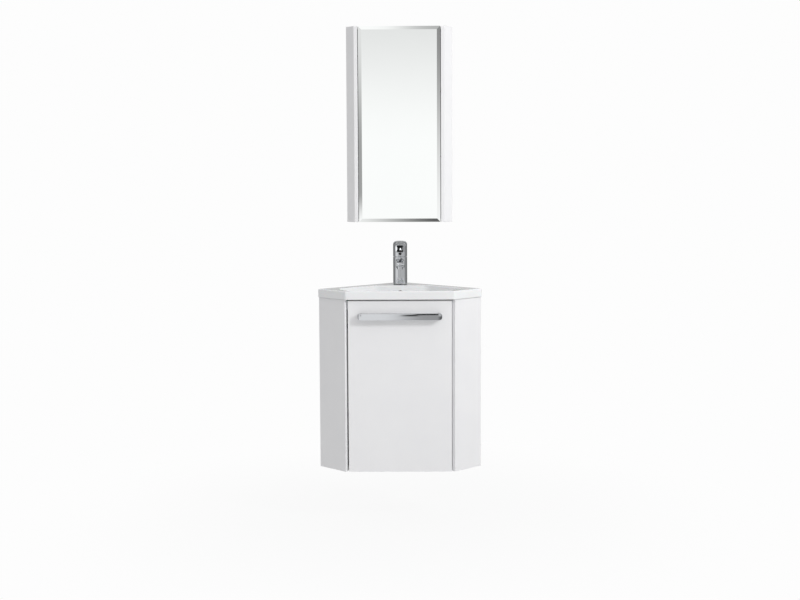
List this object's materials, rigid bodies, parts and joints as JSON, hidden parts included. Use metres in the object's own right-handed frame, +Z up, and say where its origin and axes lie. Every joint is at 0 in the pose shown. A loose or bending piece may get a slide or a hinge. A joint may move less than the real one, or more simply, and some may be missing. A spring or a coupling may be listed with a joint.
{
  "type": "corner vanity unit",
  "caption": "Wall-hung corner vanity with a washbasin, mixer tap, bottle trap and inset door, under a matching corner mirror cabinet.",
  "frame": {"origin": "the line where the two room walls meet, level with the underside of the cabinet", "axes": "+Z up, -Y towards the user, +Y into the corner, +X to the right as the user sees it; each wall runs at 45 degrees to X and Y"},
  "size_m": [0.6012, 0.427, 1.623],
  "materials": {
    "white_lacquer": "smooth white gloss lacquer",
    "white_board": "matt white melamine over chipboard",
    "basin_white": "glossy white glaze",
    "chrome_plate": "polished",
    "zinc_plate": "satin zinc plate",
    "rubber_black": "matt",
    "pp_white": "satin white polypropylene",
    "mirror_silver": "polished, bevelled edge",
    "shelf_glass": "clear, polished edges",
    "brass_bare": "turned",
    "cap_black": "smooth dark cap"
  },
  "bodies": {
    "vanity": {"left_side_panel": "white_lacquer", "right_side_panel": "white_lacquer", "left_back_panel": "white_board", "right_back_panel": "white_board", "bottom_panel": "white_board", "hanging_rails": "white_board", "front_rail": "zinc_plate", "shelf": "white_board", "shelf_pins": "zinc_plate", "door_bumpers": "rubber_black", "hinge_arms": "zinc_plate", "hinge_arm_pins": "zinc_plate", "hinge_plates": "zinc_plate", "basin": "basin_white", "overflow_ring": "chrome_plate", "waste_body": "chrome_plate", "waste_seals": "rubber_black", "waste_backnut": "zinc_plate", "trap_tailpiece": "pp_white", "trap_nuts": "pp_white", "trap_bottle": "pp_white", "trap_cup": "pp_white", "trap_outlet_pipe": "pp_white", "tap_body": "chrome_plate", "tap_base_seal": "rubber_black", "tap_cartridge": "brass_bare", "tap_cartridge_nut": "chrome_plate", "tap_aerator": "chrome_plate", "tap_stud": "brass_bare", "tap_clamp_washer": "zinc_plate", "tap_clamp_nut": "brass_bare", "tap_inlet_tails": "brass_bare", "mirror_left_post": "white_lacquer", "mirror_right_post": "white_lacquer", "mirror_left_back": "white_board", "mirror_right_back": "white_board", "mirror_top_board": "white_board", "mirror_bottom_board": "white_board", "mirror_shelves": "shelf_glass", "mirror_shelf_pins": "chrome_plate", "mirror_hinge_arms": "zinc_plate", "mirror_hinge_arm_pins": "zinc_plate", "mirror_hinge_plates": "zinc_plate"},
    "door_links": {"hinge_links": "zinc_plate"},
    "door": {"door_panel": "white_lacquer", "door_handle": "chrome_plate", "handle_screws": "zinc_plate", "hinge_cups": "zinc_plate", "hinge_cup_pins": "zinc_plate", "hinge_cup_screws": "zinc_plate"},
    "mirror_links": {"mirror_hinge_links": "zinc_plate"},
    "mirror_door": {"mirror_door_board": "white_board", "mirror_glass": "mirror_silver", "mirror_hinge_cups": "zinc_plate", "mirror_hinge_cup_pins": "zinc_plate"},
    "tap_swivel": {"tap_cartridge_fork": "zinc_plate"},
    "tap_handle": {"tap_lever": "chrome_plate", "tap_stem": "zinc_plate", "tap_indicator": "cap_black"},
    "waste_push": {"waste_plug": "chrome_plate"}
  },
  "joints": [
    {"name": "door_link_turn", "type": "hinge", "parent": "vanity", "child": "door_links", "pos_m": [-0.16026, -0.36504, 0.31], "axis": [0, 0, 1], "range_deg": [0, 28]},
    {"name": "door_swing", "type": "hinge", "parent": "door_links", "child": "door", "pos_m": [-0.18026, -0.38354, 0.31], "axis": [0, 0, 1], "range_deg": [-128, 0]},
    {"name": "mirror_link_turn", "type": "hinge", "parent": "vanity", "child": "mirror_links", "pos_m": [-0.12331, -0.19378, 1.264], "axis": [0, 0, 1], "range_deg": [0, 28]},
    {"name": "mirror_door_swing", "type": "hinge", "parent": "mirror_links", "child": "mirror_door", "pos_m": [-0.14331, -0.21228, 1.264], "axis": [0, 0, 1], "range_deg": [-128, 0]},
    {"name": "tap_turn", "type": "hinge", "parent": "vanity", "child": "tap_swivel", "pos_m": [0, -0.1, 0.765], "axis": [0, 0, 1], "range_deg": [-45, 45]},
    {"name": "tap_lift", "type": "hinge", "parent": "tap_swivel", "child": "tap_handle", "pos_m": [0, -0.1, 0.765], "axis": [-1, 0, 0], "range_deg": [0, 22]},
    {"name": "plug_push", "type": "slide", "parent": "vanity", "child": "waste_push", "axis": [0, 0, 1], "range_m": [0, 0.006]}
  ],
  "couplings": [
    {"joint": "door_link_turn", "follows": "door_swing", "ratio": -0.21875},
    {"joint": "mirror_link_turn", "follows": "mirror_door_swing", "ratio": -0.21875}
  ]
}
